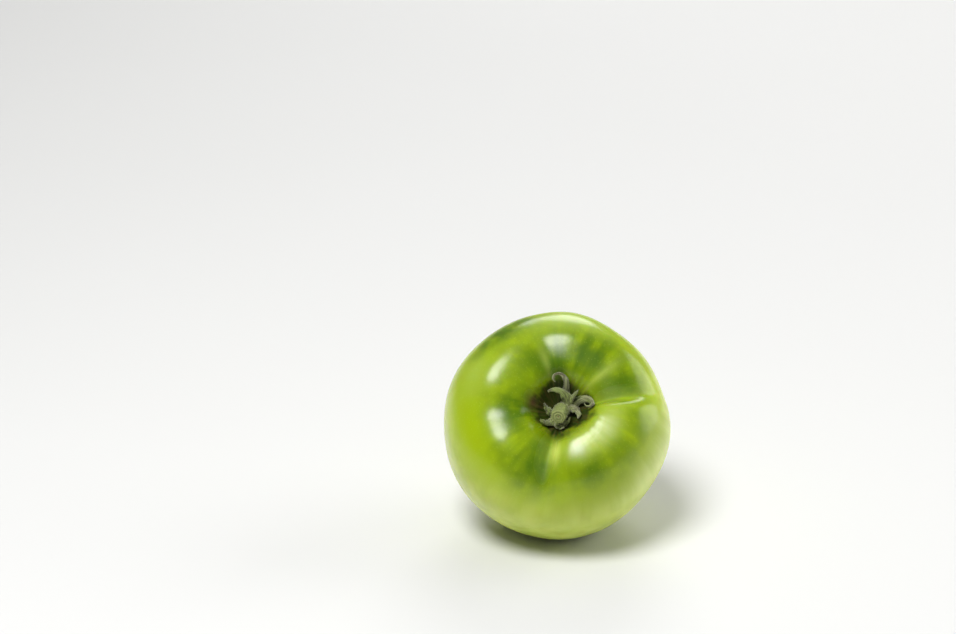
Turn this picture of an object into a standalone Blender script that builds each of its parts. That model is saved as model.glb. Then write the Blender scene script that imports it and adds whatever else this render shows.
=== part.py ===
"""A green tomato as picked: one lobed fruit, its dried calyx and the stub of its stem.

Sizes are millimetres in the fruit's own frame, where +Z runs along the core to the stem,
+X is to the right and +Y is up on the face that shows the stem. The fruit lies on its lower
flank, so the whole is then turned, set down on its flat spot and scaled to metres.
"""
import math
from typing import NamedTuple

import bmesh
import bpy
import numpy as np
from mathutils import Matrix, Vector

MM = 0.001

# Fruit: half width, then heights of the stem half and the blossom half of the plain form
EQUATOR = 40.0
STEM_HALF = 31.0
BLOSSOM_HALF = 38.5
STEM_SQUARENESS = 2.7
BLOSSOM_SQUARENESS = 2.0
HALVES_BLEND = 0.08

# The pit that holds the calyx, the wide bowl round it and the dimple of the blossom end
PIT_DEPTH = 10.5
PIT_RADIUS = 10.7
PIT_SQUARENESS = 3.0
BOWL_DEPTH = 5.0
BOWL_RADIUS = 23.0
SCAR_DEPTH = 1.6
SCAR_RADIUS = 5.0

# Radius where grooves, lobes and the bowl's own shape begin, and the width over which they grow
RELIEF_START = 4.0
GROOVE_GROWTH = 10.0
LOBE_GROWTH = 8.0
BOWL_START = 2.0
BOWL_GROWTH = 10.0

# The stem half's lobes and bowl die away smoothly round the equator, by the cosine of the
# angle from the stem: whole above this much, gone below as much on the other side
HALF_FADE = 0.3

# How a groove dies away, in degrees from the stem: a faint share of it runs on further down
FADE_SPAN = 50.0
FAINT_SHARE = 0.05
FAINT_END = 140.0
FAINT_SPAN = 50.0

# How far a groove widens the pit, and a lobe narrows it, for each millimetre of its own
PIT_WIDENING = 0.025
PIT_NARROWING = 0.05

# Lie of the fruit: the stem's angle above the ground, and round from the front
STEM_ELEVATION = 41.0
STEM_BEARING = 6.0
FLAT_CUT = 1.3

# Facets: round the core and from pole to pole, and how they crowd at sharp creases and in the pit
COLUMNS = 68
ROWS = 38
CREASE_CROWDING = 1.6
CREASE_REACH = 12.0
POLE_CROWDING = 0.3
BEARING_SAMPLES = 721
SHARP_ANGLE = 40.0
CUT_TOLERANCE = 1e-4

# Space kept between pieces that touch, and upright between a sepal and the sloping skin,
# whose height is read as far down as this many degrees from the stem
GAP = 0.3
SKIN_CLEARANCE = 1.2
SKIN_READ_SPAN = 60.0
SKIN_READ_STEPS = 240

# Calyx: the hub that the sepals grow from, with shares of its height and radius from the
# bottom up, and the sections of a sepal
HUB_PLACE = (-0.2, -0.8)
HUB_RADIUS = 3.4
HUB_HEIGHT = 1.9
HUB_SIDES = 20
HUB_PROFILE = ((0.0, 0.82), (0.25, 1.0), (0.75, 1.0), (1.0, 0.86))
SEPAL_THICKNESS = 0.85
SEPAL_STEPS = 13
SEPAL_SIDES = 6
SEPAL_ROOT = 2.4
SEPAL_NECK = 0.72
SEPAL_BULGE = 1.6
SEPAL_TAPER = 0.55

# Stem: straight, then bent over towards the ground
STEM_RADIUS = 2.5
STEM_RISE = 1.4
STEM_BEND_RADIUS = 6.0
STEM_BEND = 48.0
STEM_LEAN_BEARING = 245.0
STEM_TAIL = 3.4
STEM_SIDES = 16
STEM_BEND_STEPS = 6
STEM_EDGE = 0.4
STEM_END_SWELL = 1.06

# Shortest edge kept where sepals are joined
SLIVER = 0.01


class Finish(NamedTuple):
    """Colour and roughness of a piece, under the material's name."""

    name: str
    colour: tuple[float, float, float]
    roughness: float


class Groove(NamedTuple):
    """A crease between two lobes, running from the pit towards the blossom end.

    Its side towards larger bearings is wider than the other by its skew, a share of its width.
    """

    bearing: float
    drift: float
    depth: float
    width: float
    skew: float
    rounding: float
    fade: float


class Lobe(NamedTuple):
    """A swelling of the shoulder, as wide as its chord and highest at its crest."""

    bearing: float
    swell: float
    chord: float
    crest: float
    spread: float
    bowl: float


class Girth(NamedTuple):
    """A slow change of the half width round the equator."""

    bearing: float
    swell: float
    chord: float


class Sepal(NamedTuple):
    """A narrow dried blade; angles in degrees are reached at its tip."""

    bearing: float
    length: float
    width: float
    lift: float
    curl: float
    turn: float
    twist: float
    lateness: float


GREEN_SKIN = Finish("green_skin", (0.33, 0.44, 0.035), 0.35)
DRIED_CALYX = Finish("dried_calyx", (0.16, 0.18, 0.08), 0.75)
CUT_STEM = Finish("cut_stem", (0.25, 0.30, 0.10), 0.7)

GROOVES = (
    Groove(bearing=3, drift=7, depth=4.4, width=0.20, skew=0.6, rounding=0.05, fade=50),
    Groove(bearing=103, drift=0, depth=1.5, width=0.26, skew=0.0, rounding=0.16, fade=54),
    Groove(bearing=182, drift=0, depth=1.6, width=0.34, skew=0.0, rounding=0.20, fade=52),
    Groove(bearing=251, drift=2, depth=5.0, width=0.22, skew=-0.6, rounding=0.05, fade=50),
)
SHARP_CREASES = (7.0, 252.0)

LOBES = (
    Lobe(bearing=309, swell=3.0, chord=0.98, crest=26.0, spread=11.0, bowl=0.0),
    Lobe(bearing=338, swell=0.9, chord=0.8, crest=21.5, spread=9.0, bowl=1.0),
    Lobe(bearing=58, swell=1.9, chord=0.72, crest=28.0, spread=7.5, bowl=1.0),
    Lobe(bearing=137, swell=1.6, chord=0.6, crest=29.5, spread=8.5, bowl=1.0),
    Lobe(bearing=222, swell=1.2, chord=0.5, crest=28.5, spread=11.0, bowl=1.0),
)

GIRTHS = (
    Girth(bearing=15, swell=-1.2, chord=0.3),
    Girth(bearing=50, swell=-1.5, chord=0.42),
    Girth(bearing=78, swell=0.6, chord=0.3),
    Girth(bearing=122, swell=-0.6, chord=0.35),
    Girth(bearing=160, swell=0.5, chord=0.3),
    Girth(bearing=205, swell=0.35, chord=0.35),
    Girth(bearing=318, swell=-0.9, chord=0.42),
)

# Round the hub from the right, anticlockwise
SEPALS = (
    Sepal(bearing=27, length=11.3, width=3.0, lift=51, curl=-12, turn=-146, twist=10, lateness=0.6),
    Sepal(bearing=33, length=15.9, width=3.0, lift=16, curl=-18, turn=-335, twist=60, lateness=2.2),
    Sepal(bearing=43, length=14.2, width=4.0, lift=36, curl=-4, turn=186, twist=20, lateness=0.7),
    Sepal(bearing=54, length=9.6, width=2.9, lift=20, curl=52, turn=-26, twist=-35, lateness=0.7),
    Sepal(bearing=71, length=17.2, width=2.6, lift=26, curl=-50, turn=295, twist=60, lateness=2.7),
    Sepal(bearing=174, length=6.2, width=3.2, lift=36, curl=18, turn=-70, twist=35, lateness=1.1),
    Sepal(bearing=222, length=7.6, width=3.0, lift=18, curl=17, turn=-116, twist=-20, lateness=2.3),
    Sepal(bearing=238, length=9.2, width=2.8, lift=24, curl=18, turn=214, twist=25, lateness=1.0),
    Sepal(bearing=258, length=8.4, width=2.8, lift=42, curl=22, turn=75, twist=20, lateness=2.2),
)


def ease(value: np.ndarray) -> np.ndarray:
    """Smooth step from 0 to 1."""
    held = np.clip(value, 0.0, 1.0)
    return held * held * (3.0 - 2.0 * held)


def chord_to(bearing: np.ndarray, degrees) -> np.ndarray:
    """Distance on a unit circle between a bearing in radians and one in degrees."""
    return 2.0 * np.abs(np.sin((bearing - np.radians(degrees)) / 2.0))


def fruit_surface(polar: np.ndarray, bearing: np.ndarray) -> np.ndarray:
    """Points of the skin for angles from the stem and round the core, in radians."""
    sine = np.sin(polar)
    cosine = np.cos(polar)
    stem_side = 0.5 + 0.5 * cosine / np.sqrt(cosine**2 + HALVES_BLEND)
    height = BLOSSOM_HALF + (STEM_HALF - BLOSSOM_HALF) * stem_side
    power = BLOSSOM_SQUARENESS + (STEM_SQUARENESS - BLOSSOM_SQUARENESS) * stem_side
    reach = ((sine / EQUATOR) ** power + (np.abs(cosine) / height) ** power) ** (-1.0 / power)
    radius = reach * sine
    level = reach * cosine

    # The way out of the plain form, along which lobes and grooves move the skin
    out_radius = (radius / EQUATOR) ** (power - 1.0) / EQUATOR
    out_level = np.sign(level) * (np.abs(level) / height) ** (power - 1.0) / height
    out_size = np.hypot(out_radius, out_level)
    out_radius = out_radius / out_size
    out_level = out_level / out_size

    push = np.zeros_like(polar)
    pit_swell = np.ones_like(polar)
    bowl_share = np.ones_like(polar)
    upper = ease(0.5 + 0.5 * cosine / HALF_FADE)
    degrees = np.degrees(polar)
    for groove in GROOVES:
        middle = groove.bearing + groove.drift * (radius / EQUATOR) ** 2
        side = np.sin(bearing - np.radians(middle))
        width = groove.width * (1.0 + groove.skew * side / np.hypot(side, groove.rounding))
        cusp = np.exp(-(np.hypot(chord_to(bearing, middle), groove.rounding) - groove.rounding) / width)
        faint = FAINT_SHARE * ease((FAINT_END - degrees) / FAINT_SPAN)
        full = (1.0 - FAINT_SHARE) * ease((groove.fade - degrees) / FADE_SPAN + 0.5)
        push = push - groove.depth * cusp * (faint + full) * ease((radius - RELIEF_START) / GROOVE_GROWTH)
        pit_swell = pit_swell + PIT_WIDENING * groove.depth * cusp
    for lobe in LOBES:
        across = np.exp(-((chord_to(bearing, lobe.bearing) / lobe.chord) ** 4))
        along = np.exp(-(((radius - lobe.crest) / lobe.spread) ** 2)) * upper
        push = push + lobe.swell * across * along * ease((radius - RELIEF_START) / LOBE_GROWTH)
        pit_swell = pit_swell - PIT_NARROWING * lobe.swell * across
        bowl_share = bowl_share - (1.0 - lobe.bowl) * across * ease((radius - BOWL_START) / BOWL_GROWTH)
    for girth in GIRTHS:
        across = np.exp(-((chord_to(bearing, girth.bearing) / girth.chord) ** 2))
        push = push + girth.swell * across * sine**4

    sunk = PIT_DEPTH * np.exp(-((radius / (PIT_RADIUS * pit_swell)) ** PIT_SQUARENESS)) * upper
    sunk = sunk + BOWL_DEPTH * bowl_share * np.exp(-((radius / BOWL_RADIUS) ** 2)) * upper
    raised = SCAR_DEPTH * np.exp(-((radius / SCAR_RADIUS) ** 2)) * (1.0 - upper)
    spread = radius + push * out_radius
    return np.stack(
        [spread * np.cos(bearing), spread * np.sin(bearing), level + push * out_level - sunk + raised], axis=-1
    )


def skin_height(x: float, y: float) -> float:
    """Height of the skin in and round the pit, above a point of the plane across the core."""
    polar = np.radians(np.linspace(0.0, SKIN_READ_SPAN, SKIN_READ_STEPS))
    bearing = np.full_like(polar, math.atan2(y, x))
    points = fruit_surface(polar, bearing)
    return float(np.interp(math.hypot(x, y), np.hypot(points[:, 0], points[:, 1]), points[:, 2]))


def crowd_bearing(bearing: np.ndarray) -> np.ndarray:
    """Even bearings moved so that they stand closer at the sharp creases."""
    fine = np.linspace(0.0, 2.0 * math.pi, BEARING_SAMPLES)
    density = np.ones_like(fine)
    for crease in SHARP_CREASES:
        chord = chord_to(fine, crease)
        density = density + CREASE_CROWDING * np.exp(-((chord / math.radians(CREASE_REACH)) ** 2))
    total = np.concatenate([[0.0], np.cumsum(0.5 * (density[1:] + density[:-1]))])
    return np.interp(bearing / (2.0 * math.pi), total / total[-1], fine)


def crowd_polar(polar: np.ndarray) -> np.ndarray:
    """Even angles from the stem moved so that they stand closer in the pit."""
    share = polar / math.pi
    return polar * (1.0 - POLE_CROWDING * (1.0 - share) ** 2)


def lie() -> Matrix:
    """Turn from the fruit's own frame to the way it lies."""
    elevation = math.radians(STEM_ELEVATION)
    bearing = math.radians(STEM_BEARING)
    core = Vector((
        math.sin(bearing) * math.cos(elevation),
        -math.cos(bearing) * math.cos(elevation),
        math.sin(elevation),
    ))
    right = Vector((0.0, 0.0, 1.0)).cross(core).normalized()
    up = core.cross(right)
    return Matrix((right, up, core)).transposed().to_4x4()


def give_finish(piece: bpy.types.Object, finish: Finish) -> None:
    """Give a piece its own Principled material."""
    made = bpy.data.materials.new(finish.name)
    made.use_nodes = True
    shader = made.node_tree.nodes["Principled BSDF"]
    shader.inputs["Base Color"].default_value = (*finish.colour, 1.0)
    shader.inputs["Roughness"].default_value = finish.roughness
    shader.inputs["Metallic"].default_value = 0.0
    piece.data.materials.append(made)


def add_object(name: str, bm: bmesh.types.BMesh) -> bpy.types.Object:
    """New object from a finished mesh in the making."""
    bmesh.ops.recalc_face_normals(bm, faces=bm.faces)
    mesh = bpy.data.meshes.new(name)
    bm.to_mesh(mesh)
    bm.free()
    made = bpy.data.objects.new(name, mesh)
    bpy.context.scene.collection.objects.link(made)
    return made


def make_fruit(turn: Matrix) -> bpy.types.Object:
    """The fruit: a sphere's grid moved to the skin, turned to its lie and cut flat below."""
    bm = bmesh.new()
    bmesh.ops.create_uvsphere(bm, u_segments=COLUMNS, v_segments=ROWS, radius=1.0)
    places = np.array([vertex.co for vertex in bm.verts], dtype=float)
    polar = crowd_polar(np.arccos(np.clip(places[:, 2], -1.0, 1.0)))
    around = np.arctan2(places[:, 1], places[:, 0]) % (2.0 * math.pi)
    skin = fruit_surface(polar, crowd_bearing(around))
    for vertex, place in zip(bm.verts, skin):
        vertex.co = place
    bmesh.ops.transform(bm, matrix=turn, verts=bm.verts)
    floor = min(vertex.co.z for vertex in bm.verts) + FLAT_CUT
    cut = bmesh.ops.bisect_plane(
        bm, geom=[*bm.verts, *bm.edges, *bm.faces], dist=CUT_TOLERANCE,
        plane_co=(0.0, 0.0, floor), plane_no=(0.0, 0.0, -1.0), clear_outer=True,
    )
    rim = [item for item in cut["geom_cut"] if isinstance(item, bmesh.types.BMEdge)]
    bmesh.ops.contextual_create(bm, geom=rim)
    return add_object("fruit", bm)


def sweep(bm: bmesh.types.BMesh, frames: list[Matrix], sides: int) -> None:
    """Closed bar whose section is a unit circle carried by each frame in turn."""
    start = bmesh.ops.create_circle(bm, cap_ends=True, segments=sides, radius=1.0, matrix=frames[0])
    root = start["verts"][0].link_faces[0]
    face = root
    for before, after in zip(frames, frames[1:]):
        grown = bmesh.ops.extrude_face_region(bm, geom=[face])["geom"]
        if face is not root:
            bmesh.ops.delete(bm, geom=[face], context="FACES_ONLY")
        face = next(item for item in grown if isinstance(item, bmesh.types.BMFace))
        step = after @ before.inverted()
        bmesh.ops.transform(bm, matrix=step, verts=face.verts)


def section(place: Vector, ahead: Vector, side: Vector, half_side: float, half_up: float) -> Matrix:
    """Frame of a section: its half sizes to the side and up, square to the way ahead."""
    up = ahead.cross(side).normalized()
    across = up.cross(ahead).normalized()
    turn = Matrix((across * half_side, up * half_up, ahead.normalized())).transposed().to_4x4()
    return Matrix.Translation(place) @ turn


def sepal_frames(sepal: Sepal, root_height: float) -> list[Matrix]:
    """Sections of a sepal from inside the hub to its tip, kept clear of the skin."""
    bearing = math.radians(sepal.bearing)
    root = Vector((math.cos(bearing), math.sin(bearing), 0.0)) * SEPAL_ROOT
    place = root + Vector((*HUB_PLACE, root_height))
    step = sepal.length / (SEPAL_STEPS - 1)
    half_up = 0.5 * SEPAL_THICKNESS
    ahead = Vector()
    frames = []
    for index in range(SEPAL_STEPS):
        place = place + ahead * step
        share = index / (SEPAL_STEPS - 1)
        late = share**sepal.lateness
        heading = bearing + math.radians(sepal.turn * late)
        pitch = math.radians(sepal.lift + sepal.curl * late)
        ahead = Vector((
            math.cos(heading) * math.cos(pitch),
            math.sin(heading) * math.cos(pitch),
            math.sin(pitch),
        ))
        side = Vector((-math.sin(heading), math.cos(heading), 0.0))
        side.rotate(Matrix.Rotation(math.radians(sepal.twist * late), 3, ahead))
        bulge = SEPAL_NECK + (1.0 - SEPAL_NECK) * math.sin(math.pi * min(1.0, SEPAL_BULGE * share))
        half_side = 0.5 * sepal.width * bulge * (1.0 - SEPAL_TAPER * share**2)
        lowest = max(
            skin_height(place.x + side.x * reach, place.y + side.y * reach) - side.z * reach
            for reach in (-half_side, 0.0, half_side)
        )
        place.z = max(place.z, lowest + half_up + SKIN_CLEARANCE)
        frames.append(section(place, ahead, side, half_side, half_up))
    return frames


def split_faces(mesh: bpy.types.Mesh) -> None:
    """Split the many-sided faces that a join leaves into triangles, and drop its slivers."""
    bm = bmesh.new()
    bm.from_mesh(mesh)
    bmesh.ops.dissolve_degenerate(bm, edges=bm.edges, dist=SLIVER)
    bmesh.ops.triangulate(bm, faces=bm.faces)
    bm.to_mesh(mesh)
    bm.free()


def make_calyx(hub_bottom: float) -> bpy.types.Object:
    """The calyx: a round hub and its sepals, joined in one body."""
    bm = bmesh.new()
    frames = [
        Matrix.Translation((*HUB_PLACE, hub_bottom + HUB_HEIGHT * level))
        @ Matrix.Diagonal((HUB_RADIUS * share, HUB_RADIUS * share, 1.0, 1.0))
        for level, share in HUB_PROFILE
    ]
    sweep(bm, frames, HUB_SIDES)
    hub = add_object("calyx", bm)
    blades = bpy.data.collections.new("sepals")
    for sepal in SEPALS:
        bm = bmesh.new()
        sweep(bm, sepal_frames(sepal, hub_bottom + 0.5 * HUB_HEIGHT), SEPAL_SIDES)
        blade = add_object(f"sepal_{sepal.bearing}", bm)
        bpy.context.scene.collection.objects.unlink(blade)
        blades.objects.link(blade)
    bpy.context.scene.collection.children.link(blades)
    join = hub.modifiers.new("join", "BOOLEAN")
    join.operation = "UNION"
    join.operand_type = "COLLECTION"
    join.collection = blades
    join.solver = "EXACT"
    joined = bpy.data.meshes.new_from_object(hub.evaluated_get(bpy.context.evaluated_depsgraph_get()))
    hub.modifiers.remove(join)
    hub.data = joined
    split_faces(joined)
    for blade in list(blades.objects):
        bpy.data.objects.remove(blade)
    bpy.data.collections.remove(blades)
    return hub


def make_stem(base: float) -> bpy.types.Object:
    """The stem's stub: up from the hub, bent over, with a straight cut end."""
    lean = math.radians(STEM_LEAN_BEARING)
    away = Vector((math.cos(lean), math.sin(lean), 0.0))
    core = Vector((0.0, 0.0, 1.0))
    side = core.cross(away)
    end = math.radians(STEM_BEND)
    foot = Vector((*HUB_PLACE, base))
    stops = [(foot, core, 1.0)]
    centre = foot + core * STEM_RISE + away * STEM_BEND_RADIUS
    for index in range(STEM_BEND_STEPS + 1):
        angle = end * index / STEM_BEND_STEPS
        place = centre - away * math.cos(angle) * STEM_BEND_RADIUS + core * math.sin(angle) * STEM_BEND_RADIUS
        ahead = core * math.cos(angle) + away * math.sin(angle)
        stops.append((place, ahead, 1.0))
    place, ahead, _ = stops[-1]
    stops.append((place + ahead * (STEM_TAIL - STEM_EDGE), ahead, STEM_END_SWELL))
    stops.append((place + ahead * STEM_TAIL, ahead, STEM_END_SWELL - STEM_EDGE / STEM_RADIUS))
    bm = bmesh.new()
    frames = [section(spot, way, side, STEM_RADIUS * share, STEM_RADIUS * share) for spot, way, share in stops]
    sweep(bm, frames, STEM_SIDES)
    return add_object("stem", bm)


def set_down(pieces: list[bpy.types.Object], fruit: bpy.types.Object) -> None:
    """Move the pieces so that the fruit's box stands on the ground, centred on the origin."""
    places = np.array([vertex.co for vertex in fruit.data.vertices])
    low = places.min(axis=0)
    high = places.max(axis=0)
    middle = Vector((0.5 * (low[0] + high[0]), 0.5 * (low[1] + high[1]), low[2]))
    move = Matrix.Scale(MM, 4) @ Matrix.Translation(-middle)
    for piece in pieces:
        piece.data.transform(move)
        piece.data.shade_smooth()
        piece.data.set_sharp_from_angle(angle=math.radians(SHARP_ANGLE))


def main() -> None:
    """Model the three pieces."""
    for old in list(bpy.data.objects):
        bpy.data.objects.remove(old)
    turn = lie()
    fruit = make_fruit(turn)
    hub_bottom = GAP + max(
        skin_height(HUB_PLACE[0] + HUB_RADIUS * math.cos(angle), HUB_PLACE[1] + HUB_RADIUS * math.sin(angle))
        for angle in np.linspace(0.0, 2.0 * math.pi, HUB_SIDES)
    )
    calyx = make_calyx(hub_bottom)
    stem = make_stem(hub_bottom + HUB_HEIGHT + GAP)
    for piece in (calyx, stem):
        piece.data.transform(turn)
    set_down([fruit, calyx, stem], fruit)
    give_finish(fruit, GREEN_SKIN)
    give_finish(calyx, DRIED_CALYX)
    give_finish(stem, CUT_STEM)


main()
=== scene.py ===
"""Looks of a green tomato: its skin, dried calyx, cut stem and fine hairs, in a pale studio.

Forms are worked out in millimetres in the fruit's own frame, where +Z runs along the core to the
stem, +X is to the right and +Y is up on the face that shows the stem. Each finished mesh is then
turned to the way the fruit lies, set down in the frame's box and scaled to metres.
"""

import logging
import math
from collections.abc import Callable
from dataclasses import dataclass
from enum import Enum
from typing import NamedTuple, Union

import bpy
import numpy as np
from mathutils import Euler, Matrix, Vector
from mathutils.bvhtree import BVHTree


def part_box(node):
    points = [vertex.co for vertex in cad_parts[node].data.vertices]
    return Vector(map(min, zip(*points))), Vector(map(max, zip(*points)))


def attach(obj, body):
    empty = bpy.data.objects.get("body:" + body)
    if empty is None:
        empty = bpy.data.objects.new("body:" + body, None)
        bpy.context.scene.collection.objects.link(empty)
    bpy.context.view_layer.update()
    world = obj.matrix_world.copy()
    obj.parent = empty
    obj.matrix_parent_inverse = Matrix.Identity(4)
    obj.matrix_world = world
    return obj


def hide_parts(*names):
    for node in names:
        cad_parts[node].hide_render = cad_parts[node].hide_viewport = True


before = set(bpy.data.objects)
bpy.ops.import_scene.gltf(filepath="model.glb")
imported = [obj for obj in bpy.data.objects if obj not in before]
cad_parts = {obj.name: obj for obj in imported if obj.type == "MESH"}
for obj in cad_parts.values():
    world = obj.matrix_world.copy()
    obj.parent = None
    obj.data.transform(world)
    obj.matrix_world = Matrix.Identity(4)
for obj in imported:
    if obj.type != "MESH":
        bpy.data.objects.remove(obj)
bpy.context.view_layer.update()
LOG = logging.getLogger("green_tomato")
MM = 0.001
FULL_TURN = 2.0 * math.pi
# Degrees along the skin from the stem's pole to the blossom end's.
POLE_TO_POLE = 180.0
# Phase of the rings in the stem's cut end from its middle to its rim, in radians.
CUT_RINGS = 16.0

Colour = tuple[float, float, float]
Span = tuple[float, float]
Label = Union[str, int]
Operand = Union[float, "Value"]


class TreeKind(Enum):
    """What a node tree works on."""

    GEOMETRY = "GeometryNodeTree"
    SHADER = "ShaderNodeTree"


class Port(Enum):
    """What a socket of a group carries."""

    NUMBER = "NodeSocketFloat"
    COUNT = "NodeSocketInt"
    VECTOR = "NodeSocketVector"
    GEOMETRY = "NodeSocketGeometry"
    OBJECT = "NodeSocketObject"
    MATERIAL = "NodeSocketMaterial"


Sockets = dict[Port, tuple[str, ...]]


class Mark(Enum):
    """A value stored at the points of a mesh, for its material to read."""

    WAY = "way"
    FURROW = "furrow"
    ALONG = "along"
    ACROSS = "across"
    BLADE = "blade"


class Slot(Enum):
    """Material slots of the record."""

    SKIN = "skin"
    CALYX = "calyx"
    STEM = "stem"


def sign(operation: str, swapped: bool = False) -> Callable[["Value", Operand], "Value"]:
    """Make one of Python's signs of arithmetic for values.

    Args:
        operation: Blender's name of the operation.
        swapped: Whether the value stands behind the sign.

    Returns:
        The method that the sign calls.
    """
    def method(value: "Value", other: Operand) -> "Value":
        """Join the value and the other one."""
        pair = (other, value) if swapped else (value, other)
        return value.graph.math(operation, *pair)

    return method


class Value:
    """A number or vector at each point of a surface: a socket, with Python's own arithmetic."""

    __add__ = sign("ADD")
    __radd__ = sign("ADD", swapped=True)
    __sub__ = sign("SUBTRACT")
    __rsub__ = sign("SUBTRACT", swapped=True)
    __mul__ = sign("MULTIPLY")
    __truediv__ = sign("DIVIDE")
    __rtruediv__ = sign("DIVIDE", swapped=True)
    __pow__ = sign("POWER")

    def __init__(self, graph: "Graph", socket: bpy.types.NodeSocket) -> None:
        """Keep the socket and the graph that it belongs to."""
        self.graph = graph
        self.socket = socket


class Graph:
    """Writes a node tree as expressions."""

    def __init__(self, tree: bpy.types.NodeTree) -> None:
        """Write in a group's or a material's tree."""
        self.tree = tree

    @classmethod
    def group(cls, name: str, kind: TreeKind, takes: Sockets, gives: Sockets) -> "Graph":
        """Start a new group with named sockets.

        Args:
            name: Name of the group.
            kind: What its tree works on.
            takes: Names of its inputs, by what they carry.
            gives: Names of its outputs, by what they carry.

        Returns:
            The graph of the new group.
        """
        tree = bpy.data.node_groups.new(name, kind.value)
        for side, sockets in (("INPUT", takes), ("OUTPUT", gives)):
            for port, labels in sockets.items():
                for label in labels:
                    tree.interface.new_socket(label, in_out=side, socket_type=port.value)
        tree.nodes.new("NodeGroupInput")
        tree.nodes.new("NodeGroupOutput")
        return cls(tree)

    @classmethod
    def maker(cls, name: str, takes: Sockets) -> "Graph":
        """Start a group that makes a piece, in the material that it also takes."""
        takes = takes | {Port.MATERIAL: ("Material",)}
        return cls.group(name, TreeKind.GEOMETRY, takes, {Port.GEOMETRY: ("Geometry",)})

    def take(self, label: str) -> Value:
        """One of the group's own inputs."""
        return Value(self, self.tree.nodes["Group Input"].outputs[label])

    def give(self, label: str, value: Operand) -> None:
        """Set one of the group's own outputs."""
        self.feed(self.tree.nodes["Group Output"].inputs[label], value)

    def feed(self, socket: bpy.types.NodeSocket, value: object) -> None:
        """Link a socket to a value, or set its number."""
        if isinstance(value, Value):
            self.tree.links.new(value.socket, socket)
        else:
            socket.default_value = value

    def add(self, kind: str, takes: dict[Label, object] | None = None, **settings: object) -> bpy.types.Node:
        """Add a node.

        Args:
            kind: Blender's name of the node's type.
            takes: Values for its inputs, by name or number.
            **settings: Values for its own settings.

        Returns:
            The new node.
        """
        node = self.tree.nodes.new(kind)
        for label, setting in settings.items():
            setattr(node, label, setting)
        for label, value in (takes or {}).items():
            self.feed(node.inputs[label], value)
        return node

    def out(self, node: bpy.types.Node, label: Label) -> Value:
        """One of a node's outputs."""
        return Value(self, node.outputs[label])

    def read(self, kind: str, output: Label = 0, takes: dict | None = None, **settings: object) -> Value:
        """Add a node as add does, and read the output of that name or number."""
        return self.out(self.add(kind, takes, **settings), output)

    def place(self, group: "Graph", takes: dict[str, object]) -> bpy.types.Node:
        """Add another group's node, with values for its inputs by name."""
        kind = self.tree.bl_idname.replace("Tree", "Group")
        return self.add(kind, takes, node_tree=group.tree)

    def math(self, operation: str, *values: Operand) -> Value:
        """One of Blender's operations on numbers."""
        return self.read("ShaderNodeMath", 0, dict(enumerate(values)), operation=operation)

    def exp(self, value: Value) -> Value:
        """Exponential."""
        return self.math("EXPONENT", value)

    def root(self, value: Value) -> Value:
        """Square root."""
        return self.math("SQRT", value)

    def sin(self, angle: Value) -> Value:
        """Sine of an angle in radians."""
        return self.math("SINE", angle)

    def cos(self, angle: Value) -> Value:
        """Cosine of an angle in radians."""
        return self.math("COSINE", angle)

    def ramp(self, value: Operand, low: Operand, high: Operand) -> Value:
        """Smooth step from 0 at low to 1 at high, held outside them; low may be the larger."""
        takes = {"Value": value, "From Min": low, "From Max": high}
        return self.read("ShaderNodeMapRange", "Result", takes, interpolation_type="SMOOTHSTEP")

    def chord(self, around: Value, middle: Operand) -> Value:
        """Distance on a unit circle between two bearings in radians."""
        return self.math("ABSOLUTE", self.sin((around - middle) * 0.5)) * 2.0

    def split(self, vector: Value) -> tuple[Value, Value, Value]:
        """Parts of a vector."""
        node = self.add("ShaderNodeSeparateXYZ", {0: vector})
        return self.out(node, 0), self.out(node, 1), self.out(node, 2)

    def join(self, x: Operand, y: Operand, z: Operand) -> Value:
        """Vector of three numbers."""
        return self.read("ShaderNodeCombineXYZ", 0, {0: x, 1: y, 2: z})

    def noise(self, vector: Value, scale: float = 1.0, detail: float = 2.0) -> Value:
        """Noise from 0 to 1, mostly near one half."""
        return self.read("ShaderNodeTexNoise", 0, {"Vector": vector, "Scale": scale, "Detail": detail})

    def blend(self, share: Operand, first: object, second: object) -> Value:
        """Colour between two others, each a Colour or a value."""
        first, second = ((*end, 1.0) if isinstance(end, tuple) else end for end in (first, second))
        colour_takes = {0: share, 6: first, 7: second}
        return self.read("ShaderNodeMix", 2, colour_takes, data_type="RGBA")

    def mark(self, geometry: Value, mark: Mark, value: Operand) -> Value:
        """Store a value at the points of a geometry, under its mark's name."""
        kind = "FLOAT_VECTOR" if mark is Mark.WAY else "FLOAT"
        takes = {"Geometry": geometry, "Name": mark.value, "Value": value}
        return self.read("GeometryNodeStoreNamedAttribute", 0, takes, data_type=kind)

    def marked(self, mark: Mark) -> Value:
        """A stored value, read back in a geometry group or in a material."""
        if self.tree.bl_idname == TreeKind.GEOMETRY.value:
            return self.read("GeometryNodeInputNamedAttribute", 0, {"Name": mark.value}, data_type="FLOAT")
        output = "Vector" if mark is Mark.WAY else "Fac"
        return self.read("ShaderNodeAttribute", output, attribute_name=mark.value)

    def move_to(self, geometry: Value, place: Value) -> Value:
        """A geometry with each of its points at a new place."""
        return self.read("GeometryNodeSetPosition", 0, {"Geometry": geometry, "Position": place})

    def finish_geometry(self, geometry: Value) -> None:
        """Give out a geometry with no instances left, in the material that the group takes."""
        whole = self.read("GeometryNodeRealizeInstances", 0, {"Geometry": geometry})
        takes = {"Geometry": whole, "Material": self.take("Material")}
        self.give("Geometry", self.read("GeometryNodeSetMaterial", 0, takes))


def put(name: str, data: bpy.types.ID) -> bpy.types.Object:
    """Make an object of a mesh, curve, camera or light, and put it in the scene."""
    made = bpy.data.objects.new(name, data)
    bpy.context.scene.collection.objects.link(made)
    return made


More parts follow.
